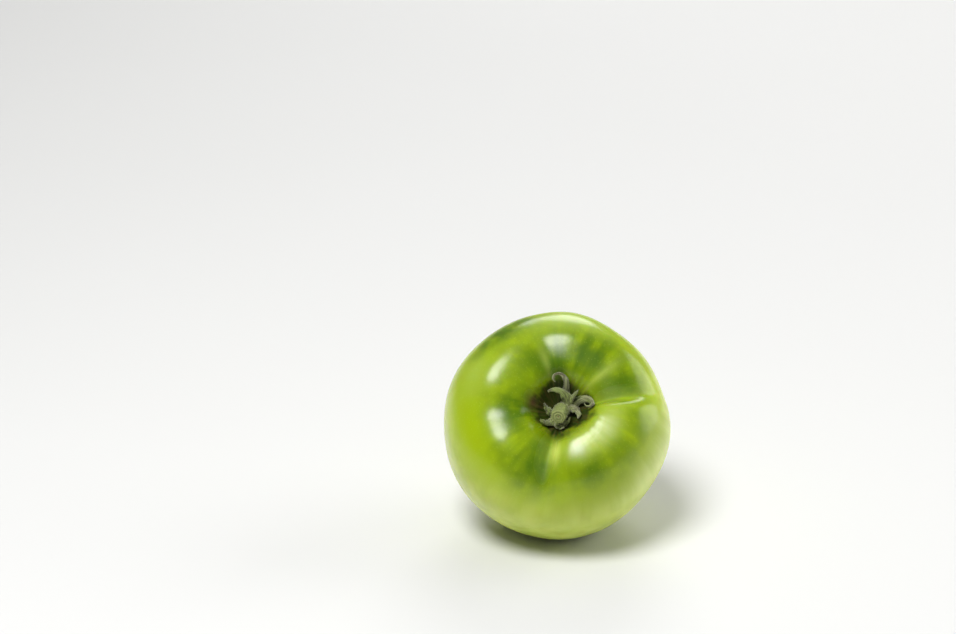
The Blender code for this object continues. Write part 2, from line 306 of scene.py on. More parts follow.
def grow(name: str, graph: Graph, part: object, **others: object) -> bpy.types.Object:
    """Run a geometry group and keep what it makes as a plain mesh.

    Args:
        name: Name of the piece.
        graph: The group, which takes no geometry.
        part: Holds the group's inputs as fields, each with the input's name in small letters.
        **others: Inputs that the part has no field for, named in the same way.

    Returns:
        The new piece.
    """
    host = put(f"{name}_host", bpy.data.meshes.new(f"{name}_host"))
    modifier = host.modifiers.new("grow", "NODES")
    modifier.node_group = graph.tree
    for item in graph.tree.interface.items_tree:
        if item.in_out == "INPUT":
            field = item.name.lower().replace(" ", "_")
            modifier[item.identifier] = others[field] if field in others else getattr(part, field)
    mesh = bpy.data.meshes.new_from_object(host.evaluated_get(bpy.context.evaluated_depsgraph_get()))
    host.modifiers.remove(modifier)
    bpy.data.objects.remove(host)
    mesh.name = name
    mesh.shade_smooth()
    return put(name, mesh)


def new_material(name: str, numbers: dict[str, float]) -> tuple[bpy.types.Material, Graph, bpy.types.Node]:
    """Start a material.

    Args:
        name: Its name.
        numbers: Values set on the shader's own sockets, the same all over the surface.

    Returns:
        The material, the graph of its tree and its Principled shader.
    """
    made = bpy.data.materials.new(name)
    made.use_nodes = True
    shader = made.node_tree.nodes["Principled BSDF"]
    for label, number in numbers.items():
        shader.inputs[label].default_value = number
    return made, Graph(made.node_tree), shader


def bump(graph: Graph, shader: bpy.types.Node, height: Value, distance: float) -> None:
    """Roughen a shader by a height given in shares of a distance in metres."""
    takes = {"Height": height, "Distance": distance, "Strength": 1.0}
    graph.feed(shader.inputs["Normal"], graph.read("ShaderNodeBump", 0, takes))


class Furrow(NamedTuple):
    """A crease between two lobes, wider by its skew on the side towards larger bearings."""

    bearing: float
    drift: float
    depth: float
    width: float
    skew: float
    rounding: float
    fade: float


class Lobe(NamedTuple):
    """A swelling of the shoulder, as wide as its chord and highest at its crest."""

    bearing: float
    swell: float
    chord: float
    crest: float
    spread: float
    bowl: float


class Girth(NamedTuple):
    """A slow change of the half width round the equator."""

    bearing: float
    swell: float
    chord: float


class Patch(NamedTuple):
    """A soft spot of colour on the skin, by degrees round the core and from the stem."""

    bearing: float
    polar: float
    width: float
    height: float
    strength: float


class Sepal(NamedTuple):
    """A narrow dried blade; angles in degrees are reached at its tip."""

    bearing: float
    length: float
    width: float
    lift: float
    curl: float
    turn: float
    twist: float
    lateness: float


class Mottle(NamedTuple):
    """How an effect varies over the skin: its even share, and what each pattern adds to it."""

    even: float
    streak: float = 0.0
    blotch: float = 0.0
    cork: float = 0.0


class Panel(NamedTuple):
    """A round soft light: the way to it from the fruit, its distance and width in metres, its watts."""

    name: str
    way: tuple[float, float, float]
    distance: float
    width: float
    power: float


def titles(kind: type) -> tuple[str, ...]:
    """Names of a group's inputs for the sizes of a kind of thing."""
    return tuple(label.title() for label in kind._fields)


def titled(sizes: NamedTuple) -> dict[str, float]:
    """Values for those inputs, by name."""
    return {label.title(): float(size) for label, size in sizes._asdict().items()}


def patch_group() -> Graph:
    """Shader group that makes the mask of one soft patch of colour.

    Returns:
        The group.
    """
    takes = {Port.VECTOR: ("Way",), Port.NUMBER: titles(Patch)}
    graph = Graph.group("skin_patch", TreeKind.SHADER, takes, {Port.NUMBER: ("Mask",)})
    across, up, share = graph.split(graph.take("Way"))
    bearing = graph.math("RADIANS", graph.take("Bearing"))
    side = across - graph.cos(bearing)
    rise = up - graph.sin(bearing)
    width = graph.math("RADIANS", graph.take("Width"))
    along = (share * POLE_TO_POLE - graph.take("Polar")) / graph.take("Height")
    fall = (side * side + rise * rise) / (width * width) + along * along
    graph.give("Mask", graph.exp(fall * -1.0) * graph.take("Strength"))
    return graph


def fibre_group() -> Graph:
    """Shader group of fine dried fibres and blotches that run along a blade or a stalk.

    Returns:
        The group.
    """
    takes = {Port.NUMBER: ("Along", "Across", "Blade", "Fineness Along", "Fineness Across")}
    graph = Graph.group("plant_fibre", TreeKind.SHADER, takes, {Port.NUMBER: ("Fibre", "Blotch")})
    blades_apart = 37.0
    run = graph.take("Along") * graph.take("Fineness Along")
    across = graph.take("Across")
    blade = graph.take("Blade") * blades_apart
    fibre_place = graph.join(run, across * graph.take("Fineness Across"), blade)
    graph.give("Fibre", graph.noise(fibre_place, detail=4.0))
    graph.give("Blotch", graph.noise(graph.join(run, across, blade), scale=0.6, detail=3.0))
    return graph


class SkinPattern:
    """The patterns of the skin, each from 0 to 1, and the masks made from them."""

    def __init__(self, graph: Graph, finish: "SkinFinish") -> None:
        """Draw the patterns.

        Args:
            graph: Graph of the skin's material.
            finish: The skin's finish, which holds their sizes.
        """
        self.graph = graph
        self.patch = patch_group()
        self.way = graph.marked(Mark.WAY)
        self.across, self.up, self.share = graph.split(self.way)
        self.polar = self.share * POLE_TO_POLE
        self.place = graph.read("ShaderNodeTexCoord", "Object")
        streaks = self._drawn_out(finish.streaks_round, finish.streaks_down, detail=6.0)
        self.streak = graph.ramp(streaks, *finish.pattern_span)
        blotches = graph.noise(self.place, 1.0 / finish.blotch_size, detail=6.0)
        self.blotch = graph.ramp(blotches, *finish.pattern_span)
        self.cork = self._drawn_out(finish.cork_round, finish.cork_down, detail=4.0)

    def _drawn_out(self, fine_round: float, fine_down: float, detail: float) -> Value:
        """Noise with one fineness round the core and another from the stem to the blossom end."""
        place = self.graph.join(self.across * fine_round, self.up * fine_round, self.share * fine_down)
        return self.graph.noise(place, detail=detail)

    def spots(self, patches: tuple[Patch, ...]) -> Value:
        """Sum the masks of soft patches.

        Args:
            patches: The patches.

        Returns:
            The sum, which may pass 1 where they overlap.
        """
        total = 0.0
        for patch in patches:
            node = self.graph.place(self.patch, {"Way": self.way} | titled(patch))
            total = self.graph.out(node, "Mask") + total
        return total

    def mottled(self, mottle: Mottle) -> Value:
        """Vary an effect over the skin.

        Args:
            mottle: How much each pattern adds.

        Returns:
            The effect's share at each point.
        """
        total = mottle.even
        for pattern, weight in zip((self.streak, self.blotch, self.cork), mottle[1:]):
            if weight:
                total = pattern * weight + total
        return total


@dataclass(frozen=True)
class SkinFinish:
    """Waxy skin: yellow-green sides, a streaky green shoulder, a pale lower half, corky scars, painted shade
    in the pit and painted highlights and reflections.

    A span is where an effect starts and where it is full, in degrees from the stem or as a
    share of the pattern that it follows.
    """

    ground: Colour = (0.29, 0.40, 0.003)
    shoulder: Colour = (0.045, 0.115, 0.001)
    pale: Colour = (0.66, 0.76, 0.15)
    # Whitish colour of the painted highlights and rim reflections.
    bloom: Colour = (0.52, 0.60, 0.42)
    cork: Colour = (0.10, 0.055, 0.018)
    dry_cork: Colour = (0.34, 0.25, 0.11)
    # Colour of the painted shade in the pit round the calyx.
    pit: Colour = (0.013, 0.025, 0.003)
    # How the skin takes light, and how much duller each mark on it is.
    gloss: float = 0.28
    glow: float = 0.15
    glow_depth: float = 0.002
    roughness: float = 0.2
    cork_roughness: float = 0.45
    pit_roughness: float = 0.2
    crease_roughness: float = 0.4
    blotch_roughness: float = 0.05
    # The patterns: how fine they are round the core and down from the stem, or their size in metres.
    streaks_round: float = 6.0
    streaks_down: float = 3.0
    cork_round: float = 14.0
    cork_down: float = 20.0
    blotch_size: float = 0.007
    pattern_span: Span = (0.3, 0.7)
    # Sound skin: the pale lower half, brightened with painted light bounced from the floor, the green
    # shoulder, the patches and the tiny speckles.
    pale_span: Span = (55.0, 95.0)
    pale_mottle: Mottle = Mottle(even=0.6, blotch=0.5)
    shoulder_span: Span = (58.0, 26.0)
    shoulder_mottle: Mottle = Mottle(even=0.12, streak=0.15, blotch=0.2)
    green_mottle: Mottle = Mottle(even=0.2, streak=0.9, blotch=1.1)
    light_mottle: Mottle = Mottle(even=0.6, streak=0.6)
    bloom_mottle: Mottle = Mottle(even=0.7, streak=0.4)
    speckle_size: float = 0.0011
    speckle_span: Span = (0.28, 0.1)
    speckle_share: float = 0.07
    # The painted shade of the ragged pit, over the skin's own darker tone there, the corky ring round it and
    # the scar at the blossom end.
    pit_span: Span = (20.5, 14.5)
    pit_raggedness: float = 9.0
    pit_mottle: Mottle = Mottle(even=-0.5, blotch=0.65, cork=0.35)
    pit_share: float = 0.94
    shade_mottle: Mottle = Mottle(even=0.4, blotch=0.6, cork=0.5)
    ring_span: Span = (22.0, 17.0)
    ring_breaks: Span = (0.45, 0.6)
    ring_share: float = 0.35
    scar_span: Span = (171.5, 176.0)
    scar_raggedness: float = 9.0
    dry_span: Span = (0.42, 0.66)
    crease_span: Span = (0.45, 0.7)
    # Fine relief, in metres; the waves and the cork are so many times as deep as the pores.
    pore_size: float = 0.0006
    pore_depth: float = 0.00002
    wave_size: float = 0.005
    wave_depth: float = 2.0
    cork_depth: float = 8.0
    # Patches of extra painted shade at the pit's edge.
    shades: tuple[Patch, ...] = (
        Patch(bearing=93, polar=21, width=11, height=4, strength=0.7),
        Patch(bearing=168, polar=20, width=16, height=4, strength=0.5),
        Patch(bearing=2, polar=18, width=20, height=3, strength=0.5),
        Patch(bearing=262, polar=20, width=22, height=3.5, strength=0.8),
    )
    russets: tuple[Patch, ...] = (Patch(bearing=166, polar=19, width=14, height=3.5, strength=0.6),)
    green_patches: tuple[Patch, ...] = (
        Patch(bearing=72, polar=34, width=27, height=12, strength=1.3),
        Patch(bearing=40, polar=38, width=18, height=11, strength=0.6),
        Patch(bearing=16, polar=38, width=16, height=13, strength=0.85),
        Patch(bearing=118, polar=34, width=20, height=12, strength=0.6),
        # This band along the upper left outline is partly a darker green and partly painted shade on that
        # rim.
        Patch(bearing=121, polar=59, width=18, height=7, strength=1.6),
        Patch(bearing=182, polar=28, width=25, height=13, strength=1.25),
        Patch(bearing=241, polar=40, width=14, height=14, strength=1.25),
        Patch(bearing=250, polar=53, width=10, height=7, strength=0.6),
        Patch(bearing=100, polar=26, width=16, height=8, strength=0.8),
        Patch(bearing=222, polar=44, width=15, height=8, strength=0.45),
        Patch(bearing=287, polar=44, width=18, height=8, strength=0.78),
        Patch(bearing=312, polar=44, width=18, height=9, strength=0.42),
        Patch(bearing=342, polar=42, width=16, height=10, strength=0.5),
    )
    # Pale lines over two septa at 36 and 107 degrees; the others are painted light: the lit lips of the pit
    # and of the furrow at 251 degrees, painted reflections at the right rim and painted bounce light on the
    # lower side.
    pale_patches: tuple[Patch, ...] = (
        Patch(bearing=36, polar=30, width=5, height=12, strength=0.35),
        Patch(bearing=107, polar=30, width=5, height=9, strength=0.2),
        Patch(bearing=257, polar=31, width=5, height=7, strength=0.6),
        Patch(bearing=310, polar=29, width=44, height=6, strength=0.4),
        Patch(bearing=330, polar=74, width=36, height=17, strength=1.0),
        Patch(bearing=14, polar=74, width=26, height=14, strength=0.7),
        Patch(bearing=233, polar=72, width=22, height=14, strength=0.35),
        Patch(bearing=268, polar=68, width=24, height=12, strength=0.45),
    )
    # Painted highlights along the lip of the pit and on the shoulders, and painted reflections at the top
    # and right rims.
    bloom_patches: tuple[Patch, ...] = (
        Patch(bearing=281, polar=31, width=9, height=4, strength=0.5),
        Patch(bearing=318, polar=30, width=20, height=5, strength=0.3),
        Patch(bearing=157, polar=54, width=14, height=8, strength=0.1),
        Patch(bearing=80, polar=52, width=22, height=6, strength=0.15),
        Patch(bearing=328, polar=66, width=26, height=11, strength=0.25),
    )

    def _sound_colour(self, graph: Graph, skin: SkinPattern) -> Value:
        """Work out the colour of the sound skin, with its painted highlights, reflections and bounce light.

        Args:
            graph: Graph of the material.
            skin: The skin's patterns.

        Returns:
            The colour.
        """
        # The pale lower half: its own paler tone, brightened as painted bounce light from the floor.
        pale = graph.ramp(skin.polar, *self.pale_span) * skin.mottled(self.pale_mottle)
        colour = graph.blend(graph.math("MINIMUM", pale, 1.0), self.ground, self.pale)
        green = graph.ramp(skin.polar, *self.shoulder_span) * skin.mottled(self.shoulder_mottle)
        green = green + skin.spots(self.green_patches) * skin.mottled(self.green_mottle)
        colour = graph.blend(1.0 - graph.exp(green * -1.0), colour, self.shoulder)
        # Pale septum lines, and painted light on the lips, the right rim and the lower side.
        light = skin.spots(self.pale_patches) * skin.mottled(self.light_mottle)
        colour = graph.blend(graph.math("MINIMUM", light, 1.0), colour, self.pale)
        # Paint in the highlights and rim reflections.
        painted_highlight_mask = skin.spots(self.bloom_patches) * skin.mottled(self.bloom_mottle)
        colour = graph.blend(painted_highlight_mask, colour, self.bloom)
        speckles = {"Vector": skin.place, "Scale": 1.0 / self.speckle_size}
        away = graph.read("ShaderNodeTexVoronoi", 0, speckles)
        return graph.blend(graph.ramp(away, *self.speckle_span) * self.speckle_share, colour, self.pale)

    def build(self) -> bpy.types.Material:
        """Make the material of the skin.

        Returns:
            The material.
        """
        numbers = {"Specular IOR Level": self.gloss, "Subsurface Weight": self.glow}
        numbers["Subsurface Scale"] = self.glow_depth
        made, graph, shader = new_material("waxy_green_skin", numbers)
        skin = SkinPattern(graph, self)
        # Paint shade into the pit, out to its ragged edge and over the patches of extra shade.
        ragged = skin.polar + skin.mottled(self.pit_mottle) * self.pit_raggedness
        pit_painted_shade = graph.ramp(ragged, *self.pit_span) + skin.spots(self.shades) * skin.mottled(self.shade_mottle)
        pit_painted_shade = graph.math("MINIMUM", pit_painted_shade, 1.0)
        colour = graph.blend(pit_painted_shade * self.pit_share, self._sound_colour(graph, skin), self.pit)
        ring = graph.ramp(skin.polar, *self.ring_span) * graph.ramp(skin.cork, *self.ring_breaks)
        scar = graph.ramp(skin.polar + (skin.cork - 0.5) * self.scar_raggedness, *self.scar_span)
        cork = graph.math("MINIMUM", ring * self.ring_share + skin.spots(self.russets) + scar, 1.0)
        corky = graph.blend(graph.ramp(skin.cork, *self.dry_span) * scar, self.cork, self.dry_cork)
        graph.feed(shader.inputs["Base Color"], graph.blend(cork, colour, corky))

        crease = graph.ramp(graph.marked(Mark.FURROW), *self.crease_span)
        dull = cork * self.cork_roughness + pit_painted_shade * self.pit_roughness + crease * self.crease_roughness
        graph.feed(shader.inputs["Roughness"], dull + skin.blotch * self.blotch_roughness + self.roughness)
        pores = graph.noise(skin.place, 1.0 / self.pore_size)
        waves = graph.noise(skin.place, 1.0 / self.wave_size)
        relief = pores + waves * self.wave_depth + cork * skin.cork * self.cork_depth
        bump(graph, shader, relief, self.pore_depth)
        return made


@dataclass(frozen=True)
class CalyxFinish:
    """Dried sepals: grey-green, browned in blotches and at the tips, with painted shade towards the hub."""

    fresh: Colour = (0.25, 0.32, 0.08)
    grey: Colour = (0.30, 0.32, 0.16)
    brown: Colour = (0.05, 0.04, 0.018)
    gloss: float = 0.3
    sheen: float = 0.3
    sheen_roughness: float = 0.5
    roughness: float = 0.7
    blotch_roughness: float = 0.15
    fineness: float = 6.0
    fibre_span: Span = (0.35, 0.62)
    fibre_share: float = 0.8
    fibre_depth: float = 0.00008
    grey_span: Span = (0.45, 0.75)
    blade_variety: float = 0.25
    dry_span: Span = (0.62, 0.78)
    dry_share: float = 0.8
    tip_dryness: float = 0.2
    # Painted shade on the sepals near the hub, where they crowd in the pit.
    root_span: Span = (0.4, 0.0)
    root_share: float = 0.5

    def build(self, fibres: Graph) -> bpy.types.Material:
        """Make the material of the sepals.

        Args:
            fibres: Shader group of plant fibres.

        Returns:
            The material.
        """
        numbers = {"Specular IOR Level": self.gloss, "Sheen Weight": self.sheen}
        numbers["Sheen Roughness"] = self.sheen_roughness
        made, graph, shader = new_material("dried_calyx", numbers)
        along = graph.marked(Mark.ALONG)
        blade = graph.marked(Mark.BLADE)
        takes = {"Along": along, "Across": graph.marked(Mark.ACROSS), "Blade": blade}
        takes |= {"Fineness Along": self.fineness, "Fineness Across": self.fineness}
        node = graph.place(fibres, takes)
        fibre = graph.out(node, "Fibre")
        blotch = graph.out(node, "Blotch")
        grey = graph.ramp(blotch + blade * self.blade_variety, *self.grey_span)
        colour = graph.blend(grey, self.fresh, self.grey)
        dry = graph.ramp(blotch + along * self.tip_dryness, *self.dry_span)
        colour = graph.blend(dry * self.dry_share, colour, self.brown)
        # Painted shade darkens the sepals towards their roots.
        root = graph.ramp(along, *self.root_span) * self.root_share
        light = graph.ramp(fibre, *self.fibre_span) * (self.fibre_share - root) + (1.0 - self.fibre_share)
        graph.feed(shader.inputs["Base Color"], graph.blend(light, self.brown, colour))
        graph.feed(shader.inputs["Roughness"], blotch * self.blotch_roughness + self.roughness)
        bump(graph, shader, fibre, self.fibre_depth)
        return made


@dataclass(frozen=True)
class StemFinish:
    """Green stalk with fine ribs, and a pale cut end with the rings of its tissue."""

    bark: Colour = (0.16, 0.20, 0.055)
    rib: Colour = (0.22, 0.26, 0.075)
    cut: Colour = (0.30, 0.335, 0.11)
    vessel: Colour = (0.13, 0.16, 0.05)
    rust: Colour = (0.16, 0.10, 0.045)
    gloss: float = 0.35
    roughness: float = 0.6
    fibre_roughness: float = 0.2
    fibre_fineness: float = 1800.0
    fibre_span: Span = (0.35, 0.65)
    fibre_depth: float = 0.0001
    blotch_fineness: float = 3.0
    rust_span: Span = (0.6, 0.72)
    rust_share: float = 0.6
    ring_waver: float = 1.5
    ring_share: float = 0.75
    heart_span: Span = (0.16, 0.05)
    end_span: Span = (0.985, 0.999)

    def build(self, fibres: Graph) -> bpy.types.Material:
        """Make the material of the stem.

        Args:
            fibres: Shader group of plant fibres.

        Returns:
            The material.
        """
        made, graph, shader = new_material("cut_stem", {"Specular IOR Level": self.gloss})
        along = graph.marked(Mark.ALONG)
        across = graph.marked(Mark.ACROSS)
        takes = {"Along": along, "Across": across, "Fineness Along": self.blotch_fineness}
        blotch = graph.out(graph.place(fibres, takes), "Blotch")
        fibre = graph.noise(graph.read("ShaderNodeTexCoord", "Object"), self.fibre_fineness, detail=3.0)
        side = graph.blend(graph.ramp(fibre, *self.fibre_span), self.bark, self.rib)
        side = graph.blend(graph.ramp(blotch, *self.rust_span) * self.rust_share, side, self.rust)
        ring = graph.cos(across * CUT_RINGS + fibre * self.ring_waver) * 0.5 + 0.5
        face = graph.blend(ring * self.ring_share, self.cut, self.vessel)
        face = graph.blend(graph.ramp(across, *self.heart_span), face, self.rust)
        end = graph.ramp(along, *self.end_span)
        graph.feed(shader.inputs["Base Color"], graph.blend(end, side, face))
        graph.feed(shader.inputs["Roughness"], fibre * self.fibre_roughness + self.roughness)
        bump(graph, shader, fibre, self.fibre_depth)
        return made


@dataclass(frozen=True)
class HairFinish:
    """Fine pale plant hairs, smoother towards their tips."""

    root: Colour = (0.30, 0.34, 0.15)
    tip: Colour = (0.48, 0.50, 0.30)
    gloss: float = 0.4
    roughness: float = 0.6
    tip_roughness: float = -0.15

    def build(self) -> bpy.types.Material:
        """Make the material of the hairs.

        Returns:
            The material.
        """
        made, graph, shader = new_material("plant_hair", {"Specular IOR Level": self.gloss})
        along = graph.marked(Mark.ALONG)
        graph.feed(shader.inputs["Base Color"], graph.blend(along, self.root, self.tip))
        graph.feed(shader.inputs["Roughness"], along * self.tip_roughness + self.roughness)
        return made


@dataclass(frozen=True)
class FloorFinish:
    """Matt white studio sweep with hardly visible clouds."""

    white: Colour = (0.66, 0.66, 0.65)
    shade: Colour = (0.64, 0.64, 0.63)
    gloss: float = 0.2
    roughness: float = 0.75
    cloud_roughness: float = 0.1
    cloud_fineness: float = 3.0

    def build(self) -> bpy.types.Material:
        """Make the material of the floor.

        Returns:
            The material.
        """
        made, graph, shader = new_material("studio_floor", {"Specular IOR Level": self.gloss})
        cloud = graph.noise(graph.read("ShaderNodeTexCoord", "Object"), self.cloud_fineness)
        graph.feed(shader.inputs["Base Color"], graph.blend(cloud, self.white, self.shade))
        graph.feed(shader.inputs["Roughness"], cloud * self.cloud_roughness + self.roughness)
        return made


@dataclass(frozen=True)
class Lie:
    """How the fruit lies: the stem's angle above the ground and round from the front, in degrees."""

    elevation: float = 41.0
    bearing: float = 6.0
    flat_cut: float = 1.3
    flat_rounding: float = 0.15

    def turn(self) -> Matrix:
        """Turn from the fruit's own frame to the way it lies."""
        angles = (math.radians(90.0 - self.elevation), 0.0, math.radians(self.bearing))
        return Euler(angles).to_matrix().to_4x4()

    def placing(self, skin: bpy.types.Object) -> Matrix:
        """Work out the way from the fruit's own frame to its place in the frame's box.

        Args:
            skin: The fruit, still in its own frame, in millimetres.

        Returns:
            The matrix, from millimetres to metres.
        """
        turn = self.turn()
        places = np.array([turn @ vertex.co for vertex in skin.data.vertices])
        low, high = places.min(axis=0), places.max(axis=0)
        cad_low, cad_high = (Vector(corner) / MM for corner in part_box("fruit"))
        middle = (cad_low + cad_high) * 0.5 - Vector((low + high) * 0.5)
        move = Vector((middle.x, middle.y, cad_low.z - low[2] - self.flat_cut))
        return Matrix.Scale(MM, 4) @ Matrix.Translation(move) @ turn

    def flatten(self, fruit: bpy.types.Object) -> None:
        """Round the fruit's underside off into its flat spot on the ground.

        Args:
            fruit: The fruit, in its place.
        """
        softness = self.flat_rounding * MM
        for vertex in fruit.data.vertices:
            vertex.co.z = 0.5 * (vertex.co.z + math.hypot(vertex.co.z, softness))


@dataclass
class Fruit:
    """The fruit, in millimetres and degrees, as one closed skin."""

    columns: int = 360
    rows: int = 170
    pole_crowding: float = 0.3
    # The plain form: half sizes and squareness of its stem half and its blossom half.
    equator: float = 40.0
    stem_half: float = 31.0
    blossom_half: float = 38.5
    stem_squareness: float = 2.7
    blossom_squareness: float = 2.0
    halves_blend: float = 0.08
    half_fade: float = 0.3
    # The pit round the stem, the wide bowl round the pit, and the scar at the blossom end.
    pit_depth: float = 10.5
    pit_radius: float = 10.7
    pit_squareness: float = 3.0
    pit_widening: float = 0.025
    pit_narrowing: float = 0.05
    bowl_depth: float = 5.0
    bowl_radius: float = 23.0
    bowl_start: float = 2.0
    bowl_growth: float = 10.0
    scar_depth: float = 1.6
    scar_radius: float = 5.0
    # Where furrows and lobes begin, and how the furrows fade on the way to the blossom end.
    relief_start: float = 4.0
    furrow_growth: float = 10.0
    lobe_growth: float = 8.0
    lobe_flatness: float = 4.0
    girth_narrowness: float = 4.0
    sharp_rounding: float = 0.1
    fade_span: float = 50.0
    faint_share: float = 0.05
    faint_end: float = 140.0
    faint_span: float = 50.0
    # The skin's slight unevenness, and the pleats at the lip of the pit.
    unevenness: float = 0.06
    uneven_length: float = 14.0
    pleats: float = 0.07
    pleat_count: float = 31.0
    pleat_waver: float = 6.0
    pleat_fineness: float = 9.0
    pleat_middle: float = 0.8
    pleat_reach: float = 0.35
    furrows: tuple[Furrow, ...] = (
        Furrow(bearing=3, drift=7, depth=4.4, width=0.20, skew=0.6, rounding=0.05, fade=50),
        Furrow(bearing=103, drift=0, depth=1.5, width=0.26, skew=0.0, rounding=0.16, fade=54),
        Furrow(bearing=182, drift=0, depth=1.6, width=0.34, skew=0.0, rounding=0.20, fade=52),
        Furrow(bearing=251, drift=2, depth=5.0, width=0.22, skew=-0.6, rounding=0.05, fade=50),
    )
    lobes: tuple[Lobe, ...] = (
        Lobe(bearing=309, swell=3.0, chord=0.98, crest=26.0, spread=11.0, bowl=0.0),
        Lobe(bearing=338, swell=0.9, chord=0.8, crest=21.5, spread=9.0, bowl=1.0),
        Lobe(bearing=58, swell=1.9, chord=0.72, crest=28.0, spread=7.5, bowl=1.0),
        Lobe(bearing=137, swell=1.6, chord=0.6, crest=29.5, spread=8.5, bowl=1.0),
        Lobe(bearing=222, swell=1.2, chord=0.5, crest=28.5, spread=11.0, bowl=1.0),
    )
    girths: tuple[Girth, ...] = (
        Girth(bearing=15, swell=-1.2, chord=0.3),
        Girth(bearing=50, swell=-1.5, chord=0.42),
        Girth(bearing=78, swell=0.6, chord=0.3),
        Girth(bearing=122, swell=-0.6, chord=0.35),
        Girth(bearing=160, swell=0.5, chord=0.3),
        Girth(bearing=205, swell=0.35, chord=0.35),
        Girth(bearing=318, swell=-0.9, chord=0.42),
    )

    def furrow_group(self) -> Graph:
        """Geometry group that gives how deep one furrow cuts the skin, and its cross section.

        Returns:
            The group.
        """
        takes = {Port.NUMBER: ("Around", "Radius", "Polar", "Equator", *titles(Furrow))}
        graph = Graph.group("furrow", TreeKind.GEOMETRY, takes, {Port.NUMBER: ("Cut", "Cusp")})
        radius = graph.take("Radius")
        polar = graph.take("Polar")
        reach = radius / graph.take("Equator")
        middle = graph.math("RADIANS", graph.take("Bearing") + graph.take("Drift") * reach * reach)
        around = graph.take("Around")
        chord = graph.chord(around, middle)
        rounding = graph.take("Rounding")
        side = graph.sin(around - middle)
        lean = graph.take("Skew") * side / graph.root(side * side + rounding * rounding)
        width = graph.take("Width") * (1.0 + lean)
        cusp = graph.exp((rounding - graph.root(chord * chord + rounding * rounding)) / width)
        faint = graph.ramp(polar, self.faint_end, self.faint_end - self.faint_span) * self.faint_share
        full = graph.ramp((graph.take("Fade") - polar) / self.fade_span, -0.5, 0.5)
        full = full * (1.0 - self.faint_share)
        start = graph.ramp(radius, self.relief_start, self.relief_start + self.furrow_growth)
        graph.give("Cut", graph.take("Depth") * cusp * (faint + full) * start)
        graph.give("Cusp", cusp)
        return graph

    def lobe_group(self) -> Graph:
        """Geometry group that gives how far one lobe swells the shoulder and fills the bowl.

        Returns:
            The group.
        """
        takes = {Port.NUMBER: ("Around", "Radius", *titles(Lobe))}
        graph = Graph.group("lobe", TreeKind.GEOMETRY, takes, {Port.NUMBER: ("Push", "Across", "Fill")})
        radius = graph.take("Radius")
        chord = graph.chord(graph.take("Around"), graph.math("RADIANS", graph.take("Bearing")))
        across = graph.exp((chord / graph.take("Chord")) ** self.lobe_flatness * -1.0)
        off_crest = (radius - graph.take("Crest")) / graph.take("Spread")
        start = graph.ramp(radius, self.relief_start, self.relief_start + self.lobe_growth)
        bowl_start = graph.ramp(radius, self.bowl_start, self.bowl_start + self.bowl_growth)
        graph.give("Push", graph.take("Swell") * across * graph.exp(off_crest * off_crest * -1.0) * start)
        graph.give("Across", across)
        graph.give("Fill", across * bowl_start * (1.0 - graph.take("Bowl")))
        return graph

    def surface_group(self) -> Graph:
        """Geometry group that moves a ball's grid to the skin.

        Returns:
            The group.
        """
        halves = ("Equator", "Stem Half", "Blossom Half")
        hollows = ("Pit Depth", "Pit Radius", "Bowl Depth", "Bowl Radius", "Scar Depth", "Scar Radius")
        takes = {Port.COUNT: ("Columns", "Rows"), Port.NUMBER: halves + hollows}
        graph = Graph.maker("lobed_skin", takes)
        equator = graph.take("Equator")
        ball_takes = {"Segments": graph.take("Columns"), "Rings": graph.take("Rows"), "Radius": 1.0}
        ball = graph.read("GeometryNodeMeshUVSphere", 0, ball_takes)
        ball_place = graph.read("GeometryNodeInputPosition")
        x, y, z = graph.split(ball_place)
        even = graph.math("ARCCOSINE", graph.math("MINIMUM", graph.math("MAXIMUM", z, -1.0), 1.0))
        rest = 1.0 - even / math.pi
        polar = even * (1.0 - rest * rest * self.pole_crowding)
        around = graph.math("ARCTAN2", y, x)
        degrees = graph.math("DEGREES", polar)

        sine = graph.sin(polar)
        cosine = graph.cos(polar)
        stem_side = cosine / graph.root(cosine * cosine + self.halves_blend) * 0.5 + 0.5
        blossom_half = graph.take("Blossom Half")
        height = blossom_half + (graph.take("Stem Half") - blossom_half) * stem_side
        power = self.blossom_squareness + stem_side * (self.stem_squareness - self.blossom_squareness)
        plain = (sine / equator) ** power + (graph.math("ABSOLUTE", cosine) / height) ** power
        reach = plain ** (-1.0 / power)
        radius = reach * sine
        level = reach * cosine

        out_radius = (radius / equator) ** (power - 1.0) / equator
        steep = (graph.math("ABSOLUTE", level) / height) ** (power - 1.0) / height
        out_level = graph.math("SIGN", level) * steep
        out_size = graph.root(out_radius * out_radius + out_level * out_level)
        upper = graph.ramp(cosine, -self.half_fade, self.half_fade)

        uneven = graph.noise(ball_place, self.equator / self.uneven_length, detail=3.0)
        push = uneven * (2.0 * self.unevenness) - self.unevenness
        pit_swell = 1.0
        bowl_share = 1.0
        cuts = 0.0
        creases = 0.0
        furrow_group = self.furrow_group()
        for furrow in self.furrows:
            sizes = {"Around": around, "Radius": radius, "Polar": degrees, "Equator": equator}
            node = graph.place(furrow_group, sizes | titled(furrow))
            cut = graph.out(node, "Cut")
            cuts = cut + cuts
            if furrow.rounding < self.sharp_rounding:
                creases = cut * (1.0 / furrow.depth) + creases
            pit_swell = graph.out(node, "Cusp") * (self.pit_widening * furrow.depth) + pit_swell
        push = push - cuts
        lobe_group = self.lobe_group()
        for lobe in self.lobes:
            node = graph.place(lobe_group, {"Around": around, "Radius": radius} | titled(lobe))
            push = push + graph.out(node, "Push") * upper
            pit_swell = pit_swell - graph.out(node, "Across") * (self.pit_narrowing * lobe.swell)
            bowl_share = bowl_share - graph.out(node, "Fill")
        for girth in self.girths:
            chord = graph.chord(around, math.radians(girth.bearing)) / girth.chord
            push = push + graph.exp(chord * chord * -1.0) * sine**self.girth_narrowness * girth.swell

